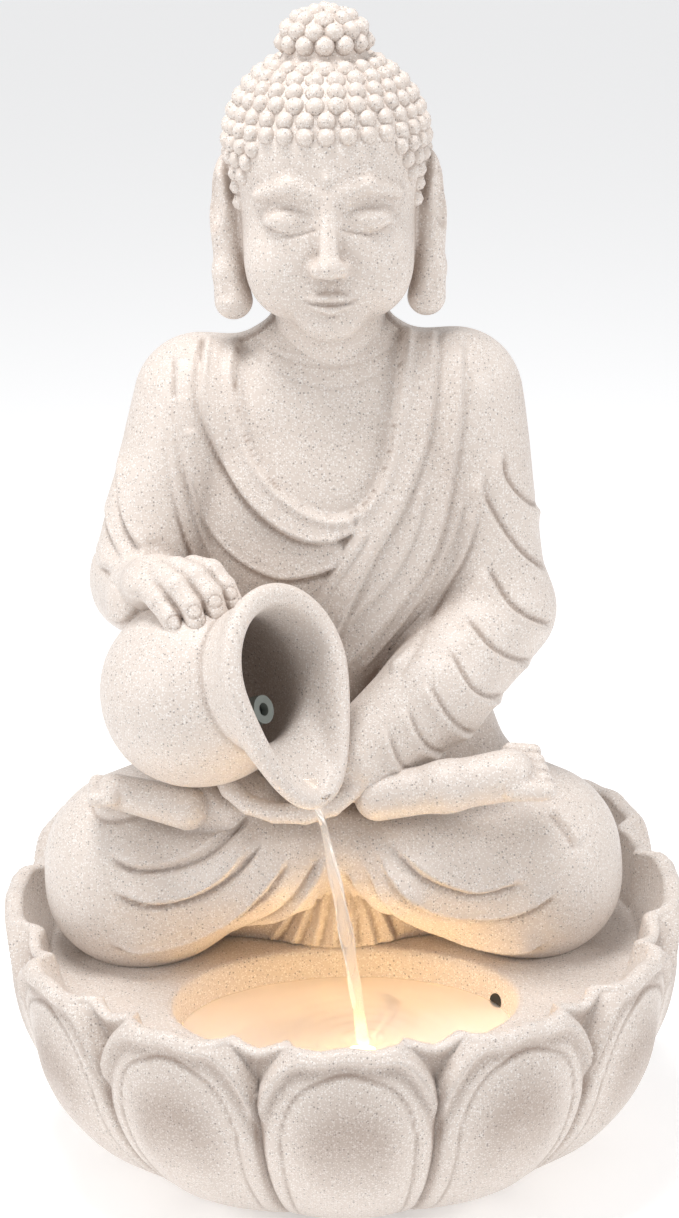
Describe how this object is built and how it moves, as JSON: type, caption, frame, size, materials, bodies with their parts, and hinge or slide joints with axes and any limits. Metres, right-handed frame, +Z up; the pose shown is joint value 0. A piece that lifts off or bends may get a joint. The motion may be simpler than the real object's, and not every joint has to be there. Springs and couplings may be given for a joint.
{
  "type": "tabletop water fountain",
  "caption": "Seated robed figure on a lotus basin, pouring water from a tilted jug into a lit front pool, with a pump inside.",
  "frame": {"origin": "under the middle of the basin, at the height of the pads' undersides", "axes": "+Z up, the figure faces -Y, +X to the figure's left hand side"},
  "size_m": [0.316, 0.316, 0.54],
  "materials": {
    "cast_stone": "satin, fine speckle",
    "black_plastic": "moulded",
    "grey_plastic": "moulded",
    "rubber": "matt",
    "hose_plastic": "translucent hose",
    "lead_sheath": "pale sheath",
    "lens_plastic": "clear, polished",
    "steel": "ground",
    "copper": "enamelled wire",
    "ferrite": "sintered ferrite",
    "board": "solder mask",
    "chip": "phosphor",
    "foam": "open cell"
  },
  "bodies": {
    "fountain": {"lotus_basin": "cast_stone", "base_pan": "cast_stone", "figure_body": "cast_stone", "figure_head": "cast_stone", "jug": "cast_stone", "jug_nozzle": "grey_plastic", "pump_housing": "black_plastic", "pump_volute_cover": "black_plastic", "impeller_shaft": "steel", "shaft_bush_front": "rubber", "shaft_bush_rear": "rubber", "stator_core": "steel", "stator_coil": "copper", "motor_end_cap": "black_plastic", "light_housing": "grey_plastic", "light_board": "board", "light_chip_1": "chip", "light_chip_2": "chip", "light_chip_3": "chip", "light_gasket": "rubber", "light_lens": "lens_plastic", "riser_hose": "hose_plastic", "pump_lead": "rubber", "light_lead": "lead_sheath", "light_lead_grommet": "rubber", "cable_grommet": "rubber", "foot_pad_1": "rubber", "suction_cup_1": "rubber", "foot_pad_2": "rubber", "suction_cup_2": "rubber", "foot_pad_3": "rubber", "suction_cup_3": "rubber", "foot_pad_4": "rubber", "suction_cup_4": "rubber"},
    "rotor": {"impeller": "grey_plastic", "rotor_magnet": "ferrite"},
    "strainer": {"pump_strainer": "black_plastic", "filter_sponge": "foam"},
    "dial": {"flow_regulator": "grey_plastic"},
    "rear_cover": {"rear_access_cover": "cast_stone"}
  },
  "joints": [
    {"name": "impeller_spin", "type": "hinge", "parent": "fountain", "child": "rotor", "pos_m": [0, 0.02, 0.0341], "axis": [0, 1, 0], "continuous": true},
    {"name": "strainer_off", "type": "slide", "parent": "fountain", "child": "strainer", "axis": [0, -1, 0], "range_m": [0, 0.012]},
    {"name": "flow_regulator_turn", "type": "hinge", "parent": "strainer", "child": "dial", "pos_m": [0, -0.005, 0.0341], "axis": [0, -1, 0], "range_deg": [0, 90]},
    {"name": "access_cover_off", "type": "slide", "parent": "fountain", "child": "rear_cover", "axis": [0, 1, 0], "range_m": [0, 0.04]}
  ]
}
